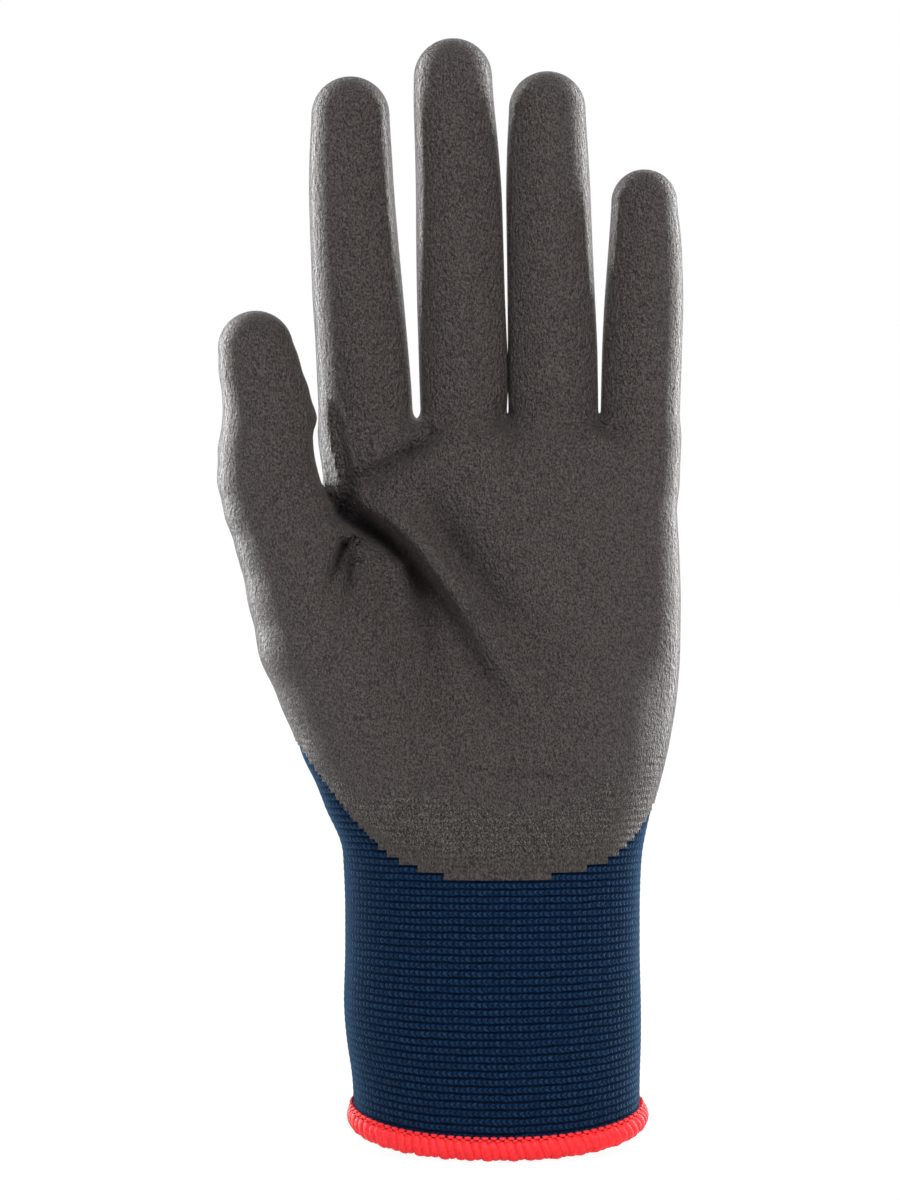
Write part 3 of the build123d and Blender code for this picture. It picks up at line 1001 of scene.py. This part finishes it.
class GLOVE_OT_film(bpy.types.Operator):
    """Lays the dipped film over the palm, the finger fronts and the tips"""
    bl_idname = "glove.film"
    bl_label = "Palm film"

    def execute(self, context):
        sizes = context.scene.glove_sizes
        pitch = sizes.course_pitch / MM
        skin = hand_skin("palm_film", FILM_LEVEL, sizes.film_fineness / MM, 50.0)
        self.cut_back(skin)
        self.cut_steps(skin, pitch)
        for (stall, part), piece in cut_stalls(skin, "film").items():
            make_wall(piece, FILM_WALL, "hand", pitch)
            x, y, z = points_of(piece).T
            set_value(piece, "edge", self.from_edge(x, y, z))
            # the mouth of the deep fold lies further back than the other folds, and gets as much painted shade
            inner = y - 5 * smoothstep(144, 139, z)
            set_value(piece, "fold", fold_depth(x, z) * smoothstep(*FOLD_FADE, inner))
            if stall == "hand":
                finish_piece(piece, film(), "palm_film", "palm_coating")
                follow_wrist(piece)
            else:
                finish_piece(piece, film(), "palm_film", f"{stall}_{part}_coating")
                follow_stall(piece, stall, part)
        return {"FINISHED"}

    def from_edge(self, x, y, z):
        """How far into the film a place is from its end on the palm, where 1 is past the printed band."""
        flat = np.stack((x, z), -1)
        nearest = np.full(len(x), 60.0)
        for start, end in zip(FILM_EDGE, FILM_EDGE[1:]):
            nearest = np.minimum(nearest, np.linalg.norm(from_segment(flat, start, end)[1], axis=1))
        band = 17 - 11 * smoothstep(18, 40, x) - 13.5 * smoothstep(14, 34, -x)
        return nearest / band + smoothstep(-12, -5, y)

    def cut_back(self, skin):
        """Takes the film off the back, apart from the dipped tips.

        The skin is drawn out of shape so that one flat cut follows the film's edge, and is then put back.
        """
        line = np.array(THUMB_LINE)
        web = np.array(WEB_EDGE).T

        def shift(x, z):
            outer, inner = np.interp(z, web[0], web[1]), np.interp(z, web[0], web[2])
            weight = (1 - smoothstep(outer, inner, x)) * smoothstep(66, 86, z) * (z < web[0, -1])
            # towards its lower corners the edge sweeps forward to meet the steps
            sweep = np.where(x < 0, 10 * (1 - smoothstep(77, 93, z)), 6 * (1 - smoothstep(66, 82, z)))
            sweep = sweep * smoothstep(22, 30, np.abs(x))
            sway = (0.5 * np.sin(z * 0.31 + x * 0.05) + 0.35 * np.sin(z * 0.83 + x * 0.21 + 1.3)
                    + 0.2 * np.sin(z * 1.9 + x))
            return np.interp(z, line[:, 2], line[:, 1]) * weight + sway - sweep

        def sag(x):
            return 0.5 * np.sin(1.1 * x) + 0.35 * np.sin(2.3 * x + 1)

        x, y, z = points_of(skin).T
        put_points(skin, np.stack((x, y - shift(x, z), z - sag(x)), -1))
        score(skin, np.abs(centres_of(skin)[:, 1] - FILM_BACK) < 3, (0, FILM_BACK, 0), (0, 1, 0))
        tips = [rows[-1][0] + rows[-1][2] for rows in FINGER_ROWS.values()] + [sum(THUMB_LINE[-1][2:])]
        feet = [np.array((0, FILM_BACK, tip - TIP_DIP)) for tip in tips]
        lean = np.array(TIP_LEAN)
        for number, foot in enumerate(feet):
            near = np.abs(beyond(skin, foot, lean, number)) < 3
            score(skin, near & (centres_of(skin)[:, 1] > FILM_BACK), foot, lean)
        off = centres_of(skin)[:, 1] > FILM_BACK
        for number, foot in enumerate(feet):
            off &= ~(beyond(skin, foot, lean, number) > 0)
        x, y, z = points_of(skin).T
        z = z + sag(x)
        put_points(skin, np.stack((x, y + shift(x, z), z), -1))
        discard(skin, off)

    def cut_steps(self, skin, pitch):
        """Ends the film on the palm in steps of one course."""
        table = np.array(FILM_EDGE)
        low = int(np.argmin(table[:, 1])) + 1
        left, right = table[:low][::-1], table[low:]
        # whole courses at the bottom, and half courses where the edge climbs the sides
        heights = np.concatenate((np.arange(36, 42), np.arange(42, 73, 0.5))) * pitch
        sides = []
        for number, (height, above) in enumerate(zip(heights, heights[1:])):
            middle = (height + above) / 2
            jog = 0.25 * math.sin(number * 2.4)
            sides.append([np.interp(middle, side[:, 1], side[:, 0]) + jog for side in (left, right)])
        x, y, z = centres_of(skin).T
        band = (np.abs(z - film_edge_height(x)) < 8) & (z < 120) & (y < 12)
        strip = separate(skin, band, "palm_edge")
        for height, (start, end) in zip(heights, sides):
            x, y, z = centres_of(strip).T
            near = (np.abs(x - start) < 7) | (np.abs(x - end) < 7) | (height < 62)
            score(strip, near & (np.abs(z - height) < 1.2) & (y < SIDE_BACK), (0, 0, height), (0, 0, 1))
        for height, above, ends in zip(heights, heights[1:], sides):
            for end in ends:
                x, y, z = centres_of(strip).T
                near = (z > height) & (z < above) & (y < SIDE_BACK) & (np.abs(x - end) < 1.2)
                score(strip, near, (end, 0, 0), (1, 0, 0))
        edit_all(join([skin, strip], skin.name), bpy.ops.mesh.remove_doubles, threshold=2e-6)
        x, y, z = centres_of(skin).T
        off = z < heights[0]
        for height, above, (start, end) in zip(heights, heights[1:], sides):
            beside = (x < start) | (x > end) | ((height + above) / 2 < table[:, 1].min())
            off |= (z > height) & (z < above) & beside
        discard(skin, off)


class GLOVE_OT_stage(bpy.types.Operator):
    """Adds the floor, the lights and the camera"""
    bl_idname = "glove.stage"
    bl_label = "Stage"

    def execute(self, context):
        bpy.ops.mesh.primitive_plane_add(size=12, location=(0, 0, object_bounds()[0].z - 0.0003))
        floor = bpy.context.object
        floor.name = "floor"
        floor.data.materials.append(self.floor_material())
        floor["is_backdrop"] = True

        world = bpy.data.worlds.new("studio")
        context.scene.world = world
        sky = Nodes(world)
        ray = sky.node("LightPath")
        seen = ray.math("MAXIMUM", ray.sibling("Is Transmission Ray")).math("MAXIMUM", ray.sibling("Is Glossy Ray"))
        strength = sky.node("MapRange", {"Value": seen, "To Min": 0.12, "To Max": 1.0})
        glow = sky.node("Background", {"Color": (1, 1, 1, 1), "Strength": strength})
        sky.node("OutputWorld", {0: glow})
        for name, place, aim, size, power in LAMPS:
            lamp = bpy.data.lights.new(name, "AREA")
            lamp.shape, lamp.size, lamp.size_y, lamp.energy = "RECTANGLE", *size, power
            self.hang(name, lamp, Vector(place), Vector(aim) - Vector(place))
        rise = math.radians(CAMERA_RISE)
        back = Vector((0, -math.cos(rise), math.sin(rise)))
        camera = bpy.data.cameras.new("camera")
        camera.sensor_width = SENSOR
        camera.lens = SENSOR * CAMERA_AWAY / VIEW_HEIGHT
        camera.clip_start, camera.clip_end = 0.01, 30
        context.scene.camera = self.hang("camera", camera, Vector(CAMERA_TARGET) + back * CAMERA_AWAY, -back)
        context.scene.view_settings.view_transform = "Standard"
        return {"FINISHED"}

    def hang(self, name, data, place, ahead):
        """Puts a lamp or a camera in its place, looking ahead."""
        obj = bpy.data.objects.new(name, data)
        bpy.context.scene.collection.objects.link(obj)
        obj.location = place
        obj.rotation_mode = "QUATERNION"
        obj.rotation_quaternion = ahead.to_track_quat("-Z", "Y")
        return obj

    def floor_material(self):
        """A pale floor that glows by itself where the camera or a reflection sees it."""
        finish = Finish("pale_floor")
        finish.set(Base_Color=(0.93, 0.93, 0.93, 1), Roughness=0.8)
        path = finish.node("LightPath")
        seen = (path + path.sibling("Is Glossy Ray") + path.sibling("Is Transmission Ray")).math("MINIMUM", 1.0)
        glow = finish.node("Emission", {"Color": (1, 1, 1, 1), "Strength": 1.05})
        spread = finish.node("VectorMath", {0: finish.places((1, 1, 1))}, 1, operation="LENGTH")
        share = spread.between(0.3, 1.0) * 0.1 + 0.9
        mixed = finish.node("MixShader", {0: seen * share, 1: Value(finish, finish.shader.outputs[0]), 2: glow})
        finish.tree.links.new(mixed.socket, finish.output.inputs[0])
        return finish.material


STEPS = (GLOVE_OT_cuff, GLOVE_OT_hem, GLOVE_OT_knit_hand, GLOVE_OT_film, GLOVE_OT_stage)


class GLOVE_PT_panel(bpy.types.Panel):
    bl_idname = "GLOVE_PT_panel"
    bl_label = "Glove"
    bl_space_type = "VIEW_3D"
    bl_region_type = "UI"
    bl_category = "Glove"

    def draw(self, context):
        for step in STEPS:
            self.layout.operator(step.bl_idname)
        for group in (context.scene.glove_sizes, context.scene.glove_colours):
            for name in group.bl_rna.properties.keys():
                if name not in {"rna_type", "name"}:
                    self.layout.prop(group, name)


CLASSES = (GloveSizes, GloveColours, *STEPS, GLOVE_PT_panel)


def register():
    for cls in CLASSES:
        bpy.utils.register_class(cls)
    bpy.types.Scene.glove_sizes = PointerProperty(type=GloveSizes)
    bpy.types.Scene.glove_colours = PointerProperty(type=GloveColours)


def unregister():
    del bpy.types.Scene.glove_colours
    del bpy.types.Scene.glove_sizes
    for cls in reversed(CLASSES):
        bpy.utils.unregister_class(cls)


def main():
    register()
    bpy.ops.glove.cuff()
    bpy.ops.glove.hem()
    bpy.ops.glove.knit_hand()
    bpy.ops.glove.film()
    bpy.ops.glove.stage()


if __name__ == "__main__":
    main()
